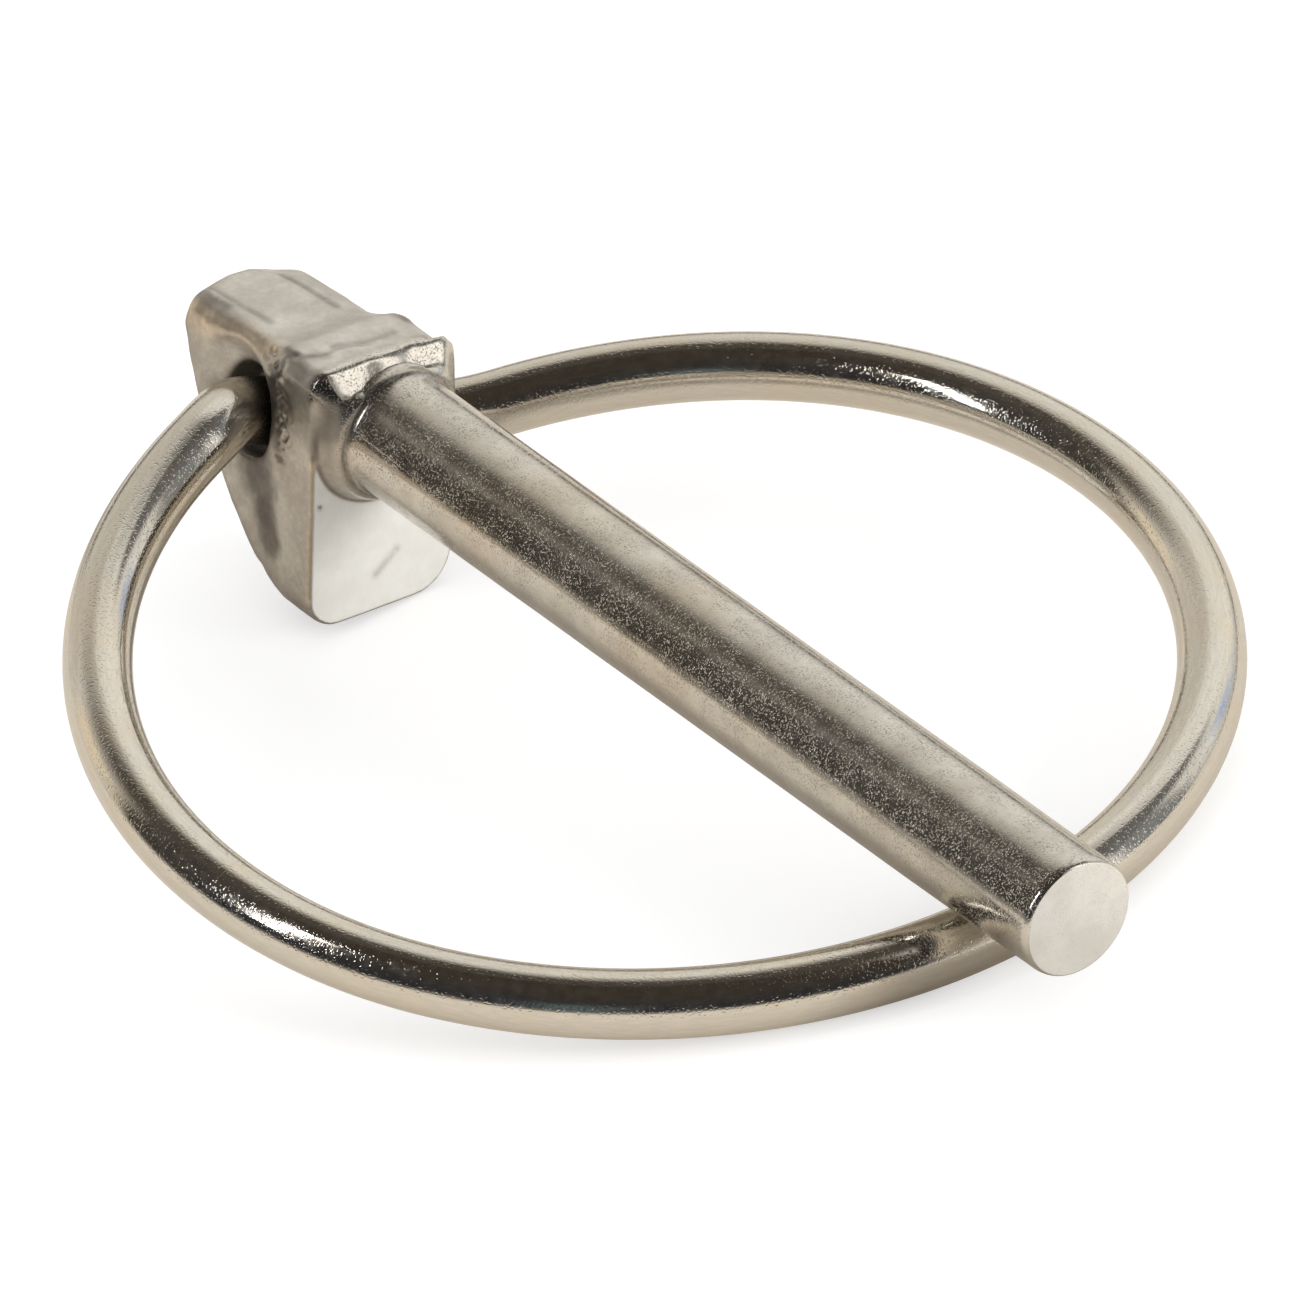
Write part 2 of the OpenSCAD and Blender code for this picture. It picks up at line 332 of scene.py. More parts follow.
def bright_wire():
    """Bright zinc plate on drawn wire, with streaks along it."""
    material, n = new_material("bright_wire")
    lay = n.kept("lay", "Vector")
    streak = n.noise(n.stretched(lay, STREAK_SCALES), 1.0, detail=4, roughness=0.7)
    cloud = n.noise(lay, WIRE_CLOUD_SCALE, detail=2)
    spots = n.noise(lay, WIRE_SPOT_SCALE, detail=3, roughness=0.6)
    plain = n.mix(n.ramp(streak, 0.35, 0.65), WIRE_DULL, WIRE_CLEAN)
    warmed = n.mix(n.ramp(cloud, 0.45, 0.7, 0.0, 0.5), plain, WIRE_WARM)
    grime_and_shade = n.kept("grime_and_shade")
    # dirt, and painted shade where the wire goes into the head
    dirt_and_shade = n.math("MULTIPLY", grime_and_shade, n.ramp(spots, 0.35, 0.6, 0.7, 1.0))
    colour = n.mix(dirt_and_shade, warmed, WIRE_DIRT_AND_SHADE)
    clean = n.ramp(spots, 0.35, 0.7, 0.08, 0.17)
    roughness = n.math("ADD", clean, n.math("MULTIPLY", grime_and_shade, WIRE_GRIME_ROUGHENS))
    grains = n.ramp(n.noise(lay, WIRE_GRAIN_SCALE, detail=1), 0.52, 0.80)
    peel = n.noise(lay, WIRE_PEEL_SCALE, detail=2)
    grained = n.bumped(grains, WIRE_GRAIN_HEIGHT)
    peeled = n.bumped(peel, WIRE_PEEL_HEIGHT, grained)
    finish_metal(n, colour, roughness, n.bumped(streak, WIRE_STREAK_HEIGHT, peeled))
    return material


# --- The floor: pale to the camera, and warmer in what the metal mirrors, where painted shade dims it in part ---

FLOOR_PALE = shade(0.60, 0.60, 0.60)
FLOOR_GLOW = shade(0.46, 0.46, 0.46)
MIRRORED_NEAR = shade(0.60, 0.56, 0.50)
MIRRORED_DIM = shade(0.06, 0.05, 0.04)
GLARE_NEAR = shade(0.125, 0.105, 0.08)
GLARE_DIM = shade(0.0, 0.0, 0.0)
# The distances over which it dims, in metres: towards an azimuth, and sideways from under the shank.
DIM_TOWARDS = -65
DIM_FROM, DIM_TO, DIM_SHARE = 0.04, 0.25, 0.75
UNDER_FROM, UNDER_TO, UNDER_SHARE = 0.003, 0.011, 0.5


def floor_dimming(n):
    """How far the mirrored floor is dimmed by painted shade: far off on the camera's side, and by a painted shadow
    under the shank.
    """
    place = n.add("ShaderNodeNewGeometry").outputs["Position"]
    # painted shade far off on the camera's side
    distant = n.ramp(n.dot(place, direction(DIM_TOWARDS, 0)), DIM_FROM, DIM_TO, 0.0, DIM_SHARE)
    # a painted shadow under the shank
    across = n.add("ShaderNodeSeparateXYZ", {0: place}).outputs["Y"]
    under = n.ramp(n.math("ABSOLUTE", across), UNDER_FROM, UNDER_TO, UNDER_SHARE, 0.0)
    return n.math("MAXIMUM", distant, under)


def floor_material():
    material, n = new_material("floor")
    path = n.add("ShaderNodeLightPath")
    seen = n.math("ADD", path.outputs["Is Camera Ray"], path.outputs["Is Transmission Ray"], clamp=True)
    mirrored = path.outputs["Is Glossy Ray"]
    dimmed = floor_dimming(n)
    cloth = n.mix(mirrored, FLOOR_PALE, n.mix(dimmed, MIRRORED_NEAR, MIRRORED_DIM))
    tint = n.mix(mirrored, FLOOR_GLOW, n.mix(dimmed, GLARE_NEAR, GLARE_DIM))
    pale = n.add("ShaderNodeBsdfDiffuse", {"Color": cloth})
    shows = n.math("ADD", seen, mirrored, clamp=True)
    glow = n.add("ShaderNodeEmission", {"Color": tint, "Strength": shows})
    lit = n.add("ShaderNodeAddShader", {0: pale.outputs[0], 1: glow.outputs[0]})
    clear = n.add("ShaderNodeBsdfTransparent")
    behind = n.add("ShaderNodeNewGeometry").outputs["Backfacing"]
    one_sided = n.add("ShaderNodeMixShader", {0: behind, 1: lit.outputs[0], 2: clear.outputs[0]})
    n.add("ShaderNodeOutputMaterial", {0: one_sided.outputs[0]})
    return material


# --- Meshes ---

def mesh_object(name, vertices, faces):
    mesh = bpy.data.meshes.new(name)
    mesh.from_pydata([tuple(v) for v in np.asarray(vertices) * MM], [], faces)
    mesh.polygons.foreach_set("use_smooth", [True] * len(mesh.polygons))
    mesh.update()
    return link(name, mesh)


HINGE_AXIS = np.array(Vector(HINGE["axis"]).normalized())
HINGE_MID = np.array(HINGE["pos_m"]) / MM
bow_x = usable_l + ring_lead + wire_r
bow_z = -(shank_r + wire_r + ring_gap)
ring_x = bow_x - ring_r


def on_hinge(y):
    """The point of the hinge line at a given Y."""
    return HINGE_MID + HINGE_AXIS * (y - HINGE_MID[1]) / HINGE_AXIS[1]


def loop_point(angle):
    """The ring's middle line: 0 degrees at the bow, +90 on the +Y side."""
    a = radians(angle)
    r = ring_r * (1 + ring_skew * sin(2 * a))
    t = max(0, (abs(angle) - stagger_from) / (180 - stagger_from))
    rise = bow_z + ring_tilt * (1 - cos(a)) + ring_roll * sin(a) - ring_stagger * np.sign(angle) * t * t
    return np.array([ring_x + r * cos(a), ring_shift + r * sin(a), rise])


def loop_heading(angle):
    step = loop_point(angle + 0.1) - loop_point(angle - 0.1)
    return step / np.linalg.norm(step)


def bend(p, u, q, v, t):
    """A smooth bend from point p, heading u, to point q, heading v."""
    reach = np.linalg.norm(q - p) * bend_reach
    return (p * (1 - t) ** 3 + (p + u * reach) * 3 * t * (1 - t) ** 2
            + (q - v * reach) * 3 * t * t * (1 - t) + q * t ** 3)


def wire_path(straight_steps=24, bend_steps=48, loop_steps=560):
    """The ring's middle line from its left end in the head, round the bow, to its right end."""
    left_end, left_out = on_hinge(ends_meet - end_gap / 2), on_hinge(left_seat)
    right_end, right_in = on_hinge(ends_meet + end_gap / 2), on_hinge(right_seat)
    path = [left_end + (left_out - left_end) * i / straight_steps for i in range(straight_steps)]
    path += [bend(left_out, -HINGE_AXIS, loop_point(-leaves), loop_heading(-leaves), i / bend_steps)
             for i in range(bend_steps)]
    path += [loop_point(-leaves + 2 * leaves * i / loop_steps) for i in range(loop_steps)]
    path += [bend(loop_point(leaves), loop_heading(leaves), right_in, -HINGE_AXIS, i / bend_steps)
             for i in range(bend_steps)]
    path += [right_in + (right_end - right_in) * i / straight_steps for i in range(straight_steps + 1)]
    return np.array(path)


def carried_frames(path):
    """Side and up directions of the wire's section, carried along the path without twisting."""
    headings = np.gradient(path, axis=0)
    headings /= np.linalg.norm(headings, axis=1)[:, None]
    side = np.cross(headings[0], (0, 0, 1))
    sides = []
    for heading in headings:
        side = side - heading * (side @ heading)
        side = side / np.linalg.norm(side)
        sides.append(side)
    sides = np.array(sides)
    return sides, np.cross(headings, sides)


def give(piece, name, values, kind="FLOAT"):
    """Keeps a value for each vertex, for the materials to read."""
    attribute = piece.data.attributes.new(name, kind, "POINT")
    field = "vector" if kind == "FLOAT_VECTOR" else "value"
    attribute.data.foreach_set(field, np.asarray(values, dtype=np.float32).ravel())


def tube_faces(last, around):
    faces = []
    for i in range(last):
        for k in range(around):
            a, b = i * around + k, i * around + (k + 1) % around
            faces.append((a, a + around, b + around, b))
    faces.append(tuple(range(around)))
    faces.append(tuple(last * around + k for k in reversed(range(around))))
    return faces


def tube(name, path, radius, around=48):
    """A closed tube along a path, which keeps for each vertex how far it lies along and round the wire."""
    sides, ups = carried_frames(path)
    turn = np.linspace(0, 2 * pi, around, endpoint=False)
    out = np.cos(turn)[None, :, None] * sides[:, None, :] + np.sin(turn)[None, :, None] * ups[:, None, :]
    points = (path[:, None, :] + radius * out).reshape(-1, 3)
    piece = mesh_object(name, points, tube_faces(len(path) - 1, around))
    steps = np.linalg.norm(np.diff(path, axis=0), axis=1)
    lay = np.empty((len(path), around, 3))
    lay[:, :, 0] = np.concatenate([[0], np.cumsum(steps)])[:, None]
    lay[:, :, 1] = radius * np.cos(turn)
    lay[:, :, 2] = radius * np.sin(turn)
    give(piece, "lay", lay, "FLOAT_VECTOR")
    return piece


def turned_faces(rings, around):
    last = 1 + rings * around
    faces = []
    for k in range(around):
        beside = (k + 1) % around
        faces.append((0, 1 + beside, 1 + k))
        faces.append((last, last - around + k, last - around + beside))
        for i in range(rings - 1):
            a, b = 1 + i * around + k, 1 + i * around + beside
            faces.append((a, b, b + around, a + around))
    return faces


def turned(name, profile, around, wave):
    """A closed solid of revolution about the X axis, from (x, radius) points that begin and end on it."""
    turn = np.linspace(0, 2 * pi, around, endpoint=False)
    points = [(profile[0][0], 0, 0)]
    for x, r in profile[1:-1]:
        points += [(x, (r + wave(x, t)) * cos(t), (r + wave(x, t)) * sin(t)) for t in turn]
    points.append((profile[-1][0], 0, 0))
    return mesh_object(name, points, turned_faces(len(profile) - 2, around))


def vertex_values(mesh, field):
    values = np.empty(len(mesh.vertices) * 3, dtype=np.float32)
    mesh.vertices.foreach_get(field, values)
    return values.reshape(-1, 3).astype(float)


def move_vertices(mesh, points):
    mesh.vertices.foreach_set("co", (points * MM).astype(np.float32).ravel())
    mesh.update()


def edge_ends(mesh):
    ends = np.empty(len(mesh.edges) * 2, dtype=np.int32)
    mesh.edges.foreach_get("vertices", ends)
    return ends.reshape(-1, 2)


def relax(points, ends, share, rounds):
    """Moves each point towards the middle of its neighbours, by its own share, a number of times."""
    count = np.bincount(ends.ravel(), minlength=len(points))[:, None]
    for _ in range(rounds):
        total = np.empty_like(points)
        for axis in range(3):
            column = points[:, axis]
            total[:, axis] = (np.bincount(ends[:, 0], column[ends[:, 1]], len(points))
                              + np.bincount(ends[:, 1], column[ends[:, 0]], len(points)))
        points = points + (total / count - points) * share[:, None]
    return points


def rising(value, low, high):
    """0 up to the low value and 1 from the high one, with a soft step between."""
    t = np.clip((value - low) / (high - low), 0, 1)
    return t * t * (3 - 2 * t)


def between(value, start, end):
    """1 inside a stretch, with a soft step over its start and over its end."""
    return rising(value, *start) * (1 - rising(value, *end))


def near_line(points, line, width):
    """1 on a line through a few points, fading out over its width."""
    nearest = np.full(len(points), np.inf)
    for start, end in zip(line, line[1:]):
        a, b = np.array(start), np.array(end)
        t = np.clip((points - a) @ (b - a) / ((b - a) @ (b - a)), 0, 1)
        nearest = np.minimum(nearest, np.linalg.norm(points - a - t[:, None] * (b - a), axis=1))
    return np.exp(-(nearest / width) ** 2)


def near_circle(points, x, radius, width):
    """1 on a circle round the shank's axis, fading out over its width."""
    away = np.hypot(points[:, 0] - x, np.hypot(points[:, 1], points[:, 2]) - radius)
    return np.exp(-(away / width) ** 2)


def rough_field(points, size, octaves=2, seed=0.0):
    """Smooth noise, about -1 to 1, whose largest lumps are of the given size."""
    return np.array([noise.fractal(Vector(p / size) + Vector((seed, seed, seed)), 1.0, 2.0, octaves)
                     for p in points])


def bore_distance(points):
    """How far each point lies from the hinge line."""
    away = points - HINGE_MID
    along = away @ HINGE_AXIS
    return np.linalg.norm(away - along[:, None] * HINGE_AXIS, axis=1)


def scale_about_axis(points, scale):
    """Moves points straight towards the shank's axis, each to its own share of its distance."""
    points[:, 1] *= scale
    points[:, 2] *= scale


# --- The ring ---

# How dark the wire is made, by dirt and painted shade, where its ends go into the head, and how far that reaches.
RING_GRIME_AND_SHADE = 0.85
RING_GRIME_AND_SHADE_REACH = 1.9


def build_ring():
    """The wire ring, darkened by dirt and painted shade where its ends go into the head."""
    path = wire_path()
    piece = tube("snap_ring", path, wire_r)
    beside = np.maximum(0, np.abs(path[:, 1]) - flange_w / 2)
    darkened = RING_GRIME_AND_SHADE * np.exp(-(beside / RING_GRIME_AND_SHADE_REACH) ** 2) * (path[:, 0] < 0)
    give(piece, "grime_and_shade", np.repeat(darkened, len(piece.data.vertices) // len(path)))
    piece.data.materials.append(bright_wire())
    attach(piece, "ring")
    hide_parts("ring")


# --- Marks on the forged head, in millimetres: (a line through a few points, width, height or strength) ---

TOP_LINE_RIGHT = [(-11.4, 1.1, 3.1), (-9.2, 1.2, 3.3), (-7.0, 1.25, 3.4)]
TOP_LINE_LEFT = [(-12.2, -2.6, 3.1), (-10.1, -2.5, 3.3), (-7.7, -2.3, 3.4)]
LUMP_BY_FLANGE = (-4.1, 2.7, 3.7)
STEP_GROOVE = [(-3.6, -3.6, 3.8), (-3.0, -2.5, 3.9), (-3.3, -1.7, 3.9), (-2.8, -0.3, 3.9), (-2.8, 1.6, 3.9)]
STEP_BURR = [(-4.5, -3.4, 3.8), (-3.5, -3.3, 3.85), (-2.6, -2.3, 3.9), (-2.7, -1.6, 3.9), (-2.2, -0.3, 3.9)]
BURR_LINE = [(-5.0, -4.2, 3.2), (-4.3, -4.3, 1.6), (-3.9, -4.3, 0.2), (-4.1, -4.3, -1.6)]
BURR_WIDTH = 0.75

GROOVES = [
    (TOP_LINE_RIGHT, 0.22, 0.07),
    (TOP_LINE_LEFT, 0.22, 0.06),
    # the step where the top meets the flange
    (STEP_GROOVE, 0.25, 0.08),
    # dents beside the bore
    ([(-4.6, -4.2, 2.4), (-4.9, -4.15, 1.1)], 0.30, 0.10),
    ([(-4.2, -4.3, -0.2), (-4.4, -4.3, -1.2)], 0.22, 0.08),
    ([(-4.0, -4.2, 3.4), (-3.9, -4.3, 2.6)], 0.22, 0.07),
]
RIDGES = [
    # the burr along the step
    (STEP_BURR, 0.22, 0.06),
    # the lump on the flange's +Y shoulder
    ([LUMP_BY_FLANGE, (-3.9, 3.3, 3.5)], 0.38, 0.16),
]
# Darkening in creases, corners and recesses: partly dirt, partly painted shade.
GRIME_AND_SHADE = [
    # darker at the corner at the back of the top
    ([(-12.3, -3.0, 3.0), (-11.4, -3.1, 3.2), (-10.2, -3.0, 3.3)], 0.40, 0.6),
    # along the torn metal beside the bore
    ([(-4.6, -4.2, 2.8), (-4.9, -4.15, 1.1), (-4.3, -4.3, -0.2), (-4.4, -4.3, -1.4)], 0.40, 0.75),
    # along the step where the top meets the flange
    ([(-4.5, -3.5, 3.7), (-3.4, -3.7, 3.8), (-2.9, -2.5, 3.9)], 0.30, 0.6),
    ([(-3.3, -1.7, 3.9), (-2.8, -0.3, 3.9), (-2.8, 1.6, 3.9)], 0.16, 0.45),
    (TOP_LINE_RIGHT, 0.20, 0.55),
    (TOP_LINE_LEFT, 0.18, 0.45),
    ([LUMP_BY_FLANGE, (-3.7, 3.0, 3.6)], 0.28, 0.6),
    # the front face: its -Y edge, a pit and a darker patch near its bottom
    ([(-1.25, -4.3, -0.5), (-1.25, -4.3, -8.6)], 0.09, 0.45),
    ([(-1.2, -3.85, -3.5), (-1.2, -3.8, -3.55)], 0.16, 0.95),
    ([(-1.2, -0.3, -8.5), (-1.2, 0.9, -7.5)], 0.30, 0.50),
]
STRIP = [
    # the painted dark strip of shade down the -Y side, below the bore
    ([(-6.7, -4.2, -2.2), (-5.9, -4.2, -4.2)], 2.2, 1.0),
    ([(-5.9, -4.2, -4.2), (-4.8, -4.2, -6.9)], 1.4, 1.0),
]
# Painted shade on the -Y side and on the collar's -Y side.
PAINTED_SHADE_MARKS = [
    # painted shade beside the bore and behind it, on the -Y side
    ([(-5.1, -4.2, 1.8), (-4.6, -4.3, -0.6), (-5.2, -4.1, -2.4)], 0.45, 0.48),
    ([(-4.3, -4.0, 3.2), (-3.4, -4.2, 2.8)], 0.35, 0.40),
    ([(-12.4, -4.2, 1.2), (-10.8, -4.2, -1.6)], 1.2, 0.27),
    # painted shade on the collar's -Y side
    ([(-1.1, -3.9, 3.2), (-0.7, -3.8, 1.9), (-0.8, -4.0, 0.9)], 0.65, 0.80),
    ([(-1.2, -4.25, 1.2), (-1.25, -4.3, -0.6)], 0.30, 0.55),
    ([(-0.5, -3.8, 0.6), (-0.5, -3.8, -0.6)], 0.50, 0.30),
]
# Painted golden glints along edges that catch the light.
GOLD_GLINTS = [
    # painted golden glints on the top's -Y edge, and on the front face's
    ([(-12.4, -3.9, 2.2), (-10.6, -3.9, 2.4)], 0.85, 0.9),
    ([(-10.0, -3.7, 2.7), (-7.7, -3.6, 3.0), (-5.6, -3.6, 3.3)], 0.60, 0.8),
    ([(-1.3, -4.35, -1.0), (-1.3, -4.35, -8.6)], 0.20, 0.7),
]

# How dark the painted shade of the strip and of the -Y side is, and how uneven the strip is.
STRIP_SHADE = 0.95
STRIP_UNEVEN = 0.12
SIDE_SHADE = 0.14
# Painted shade in the collar's corners and inside the bore.
CORNER_SHADE = 0.6
EDGE_SHADE = 0.65
BORE_SHADE = 0.85
# How much of the bloom the tip's face and the head's top get; it is painted near-white for the light these faces
# catch.
TIP_BLOOM_AND_LIGHT = 0.50
TOP_BLOOM_AND_LIGHT = 0.28


def marked(points, marks, strongest=False):
    """The sum of some marks, or the strongest of them, at each point."""
    total = np.zeros(len(points))
    for line, width, strength in marks:
        mark = near_line(points, line, width) * strength
        total = np.maximum(total, mark) if strongest else total + mark
    return total


# --- The forged pin ---

# The shoulder's outline at the flange is in (y, z), and its rim on the collar in (x, radius, turns), where
# the turns are degrees from +Y.
SHOULDER_OUTLINE = [(4.2, -0.9), (4.2, 3.1), (3.65, 3.75), (-3.65, 3.75), (-4.2, 3.1), (-4.2, -0.9)]
SHOULDER_BACK, SHOULDER_FRONT = front_x - 0.3, front_x - 0.02
SIDE_RIM = (-0.12, 3.5, (-15, -5, 5, 15, 25, 35, 145, 155, 165, 175, 185, 195))
TOP_RIM = (-0.85, 3.25, range(40, 141, 5))


def shoulder_points():
    points = [(x, y, z) for x in (SHOULDER_BACK, SHOULDER_FRONT) for y, z in SHOULDER_OUTLINE]
    for x, r, turns in (SIDE_RIM, TOP_RIM):
        points += [(x, r * cos(radians(turn)), r * sin(radians(turn))) for turn in turns]
    return points


def add_shoulder(mesh):
    """Adds the forging's shoulder, one convex lump from the flange's upper corners to the collar's rim."""
    shape = bmesh.new()
    shape.from_mesh(mesh)
    added = [shape.verts.new(Vector(point) * MM) for point in shoulder_points()]
    hull = bmesh.ops.convex_hull(shape, input=added)
    spare = [item for item in hull["geom_interior"] if isinstance(item, bmesh.types.BMVert)]
    bmesh.ops.delete(shape, geom=spare, context="VERTS")
    shape.to_mesh(mesh)
    shape.free()


def apply_modifiers(piece):
    graph = bpy.context.evaluated_depsgraph_get()
    mesh = bpy.data.meshes.new_from_object(piece.evaluated_get(graph))
    piece.modifiers.clear()
    piece.data = mesh


def voxel_remesh(piece):
    """Meshes a piece again in fine even grains, and returns its smoothed points and its edges' ends."""
    remesh = piece.modifiers.new("fine", "REMESH")
    remesh.mode = "VOXEL"
    remesh.voxel_size = head_grain * MM
    apply_modifiers(piece)
    points = vertex_values(piece.data, "co") / MM
    ends = edge_ends(piece.data)
    return relax(points, ends, np.full(len(points), FULL_SHARE), grain_relax), ends


def cut_head():
    """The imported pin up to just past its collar, as a closed mesh."""
    shape = bmesh.new()
    shape.from_mesh(frame["nodes"]["pin"].data)
    bmesh.ops.remove_doubles(shape, verts=shape.verts, dist=0.0001 * MM)
    everything = list(shape.verts) + list(shape.edges) + list(shape.faces)
    bmesh.ops.bisect_plane(shape, geom=everything, plane_co=(head_cut * MM, 0, 0), plane_no=(1, 0, 0),
                           clear_outer=True)
    bmesh.ops.holes_fill(shape, edges=[edge for edge in shape.edges if edge.is_boundary])
    mesh = bpy.data.meshes.new("head")
    shape.to_mesh(mesh)
    shape.free()
    return mesh


# Where each form fades in or out, as (from, to) in millimetres: of x, y or z, of the radius round
# the shank's axis, or of the distance from the hinge line.
HOLLOW_X, HOLLOW_Z, HOLLOW_RADIUS = (-1.35, -1.2), (2.5, 3.4), (4.15, 4.3)
WORN_X, WORN_Z = ((-2.0, -1.5), (-1.0, -0.6)), (2.4, 3.2)
RIM_X, RIM_RADIUS = (-0.5, -0.3), (3.3, 3.45)
SHOULDER_X, SHOULDER_Z = ((-1.5, -1.3), (-0.2, 0.0)), (-0.6, 0.6)
MOUTH_RADIUS, MOUTH_EDGE, MOUTH_Y = 3.3, (0.6, 1.1), (-3.6, -3.0)
MARKS_X, LUMPS_BORE, MARKS_BORE = (-1.5, -0.9), (4.4, 5.2), (2.6, 3.3)
FACE_X = ((-1.5, -1.25), (-1.15, -0.9))
STUB_X, STUB_RADIUS = (-0.25, -0.1), (3.28, 3.42)
FULL_SHARE = 0.5
WORN_SHARE, RIM_SHARE = 0.3, 0.5
SHOULDER_ROUNDS, WEAR_ROUNDS = 12, 18


def hollow_collar(points):
    """At the top the collar is a hollow that runs from the flange's edge down to the shank."""
    x, y, z = points.T
    radius = np.hypot(y, z)
    hollow = shank_r + hollow_rise * np.clip((-x - hollow_from) / hollow_run, 0, 1)
    upper = rising(z, *HOLLOW_Z) * rising(x, *HOLLOW_X) * (1 - rising(radius, *HOLLOW_RADIUS))
    scale_about_axis(points, 1 - upper * np.maximum(0, 1 - hollow / np.maximum(radius, shank_r)))


def wear_edges(points, ends):
    """The flange's top front edge and the collar's rim are worn round, and so is the bore's mouth."""
    x, y, z = points.T
    worn = between(x, *WORN_X) * rising(z, *WORN_Z)
    rim = rising(x, *RIM_X) * rising(np.hypot(y, z), *RIM_RADIUS)
    shoulder = between(x, *SHOULDER_X) * rising(z, *SHOULDER_Z)
    points = relax(points, ends, FULL_SHARE * shoulder, SHOULDER_ROUNDS)
    mouth = 1 - rising(abs(bore_distance(points) - MOUTH_RADIUS), *MOUTH_EDGE)
    mouth = mouth * (1 - rising(y, *MOUTH_Y))
    share = FULL_SHARE * np.maximum(WORN_SHARE * worn, np.maximum(RIM_SHARE * rim, mouth))
    return relax(points, ends, share, WEAR_ROUNDS)


def forging_relief(points):
    """Lumps, marks and torn metal, which stay clear of the ring's way and of the collar's face."""
    x = points[:, 0]
    bore = bore_distance(points)
    free = 1 - rising(x, *MARKS_X)
    outward = free * rising(bore, *LUMPS_BORE)
    inward = free * rising(bore, *MARKS_BORE)
    lumps = (lump_height * rough_field(points, lump_size)
             + small_lump_height * rough_field(points, small_lump_size, seed=7.0))
    level = np.where(lumps > 0, lumps * outward, lumps * inward)
    level += marked(points, RIDGES) * outward - marked(points, GROOVES) * inward
    torn = (np.abs(rough_field(points, tear_size, seed=5.0))
            + 0.5 * np.maximum(0, rough_field(points, tear_gap_size, 1, 9.0)))
    level -= tear_depth * torn * near_line(points, BURR_LINE, BURR_WIDTH) * inward
    face_lumps = between(x, *FACE_X) * face_lump_height * rough_field(points, face_lump_size, seed=3.0)
    return level + face_lumps


def draw_in_stub(points):
    """The stub in front of the collar lies inside the shank."""
    radius = np.hypot(points[:, 1], points[:, 2])
    draw = stub_depth * rising(points[:, 0], *STUB_X) * (1 - rising(radius, *STUB_RADIUS))
    scale_about_axis(points, 1 - draw / np.maximum(radius, 1.0))


def build_head():
    """The forged head and collar: worn soft at the edges, lumpy, with its marks cut in."""
    piece = link("head", cut_head())
    points, ends = voxel_remesh(piece)
    hollow_collar(points)
    move_vertices(piece.data, points)
    add_shoulder(piece.data)
    points, ends = voxel_remesh(piece)
    points = wear_edges(points, ends)
    move_vertices(piece.data, points)
    normals = vertex_values(piece.data, "normal")
    points = points + normals * forging_relief(points)[:, None]
    draw_in_stub(points)
    move_vertices(piece.data, points)
    return piece


fine_until, fine_step, long_step = 0.6, 0.06, 0.32
stub_front_x = -0.3
tip_turn_step = 9


def shank_profile():
    """(x, radius) of the shank, from inside the collar to the tip's face."""
    stations = list(np.arange(0.0, fine_until, fine_step))
    stations += list(np.arange(fine_until, tip_x - tip_round, long_step))
    inner = shank_r + fillet_rise
    profile = [(stub_x, 0.0), (stub_x, inner), (stub_front_x, inner)]
    for x in stations:
        ease = end_ease / 2 * max(0.0, (x - usable_l) / (tip_x - usable_l))
        profile.append((x, shank_r - ease + fillet_rise * np.exp(-x / fillet_reach)))
    for turn in range(0, 91, tip_turn_step):
        t = radians(turn)
        x = tip_x - tip_round * (1 - sin(t))
        profile.append((x, shank_r - end_ease / 2 - tip_edge * (1 - cos(t))))
    rim = shank_r - end_ease / 2 - tip_edge
    profile += [(tip_x, rim - 0.04), (tip_x, rim - 0.3), (tip_x, rim / 2), (tip_x, 0.0)]
    return profile


wave_length, wave_around, wave_height = 5, 0.8, 0.009
ripple_length, ripple_around, ripple_height = 1.6, 2.2, 0.003
wave_inset = 0.012


def shank_wave(x, t):
    """How far the shank lies inside its true size: a few hundredths of a millimetre."""
    place = Vector((x / wave_length, wave_around * cos(t), wave_around * sin(t)))
    small = Vector((x / ripple_length, ripple_around * cos(t), ripple_around * sin(t)))
    return -wave_inset + wave_height * noise.noise(place) + ripple_height * noise.noise(small)


def join_shank(piece):
    shank = turned("shank", shank_profile(), shank_sides, shank_wave)
    join = piece.modifiers.new("join", "BOOLEAN")
    join.operation = "UNION"
    join.solver = "MANIFOLD"
    join.object = shank
    apply_modifiers(piece)
    bpy.data.objects.remove(shank)


# Where each look fades in or out, as (from, to): in millimetres as above, or as the share of the normal
# along an axis. The collar's foot and edge are circles: (x, radius, width).
FORGED_Z, FORGED_TOP_X, FORGED_X = (1.5, 3.0), (-1.9, -1.5), (-0.7, 0.2)
BORE_RADIUS, BORE_MOUTH_Y = (2.2, 2.75), (4.3, 4.6)
COLLAR_LOWER_Z = (0.5, 2.0)
COLLAR_FOOT = (0.05, 3.32, 0.22)
COLLAR_EDGE = (front_x, 4.12, 0.16)
FORWARD, FRONT_X, FRONT_FROM_X, FRONT_Z = (0.93, 0.99), (-1.1, -0.9), (-1.6, -1.4), (-1.1, -0.4)
TIP_FORWARD, TIP_X = (0.8, 0.97), (tip_x - 0.3, tip_x - 0.1)
UPWARD, TOP_X = (0.75, 0.95), (-2.2, -1.6)
LEFTWARD, SIDE_X = (0.35, 0.85), (-1.5, -1.2)
STRIP_EDGE, STRIP_UNEVEN_SIZE = (0.22, 0.88), 0.7


def forged_share(points):
    """1 on the forged head and 0 on the bright shank; at the top the collar is bright too."""
    x, _, z = points.T
    upper = rising(z, *FORGED_Z)
    return 1 - rising(x, *FORGED_TOP_X) * upper - rising(x, *FORGED_X) * (1 - upper)


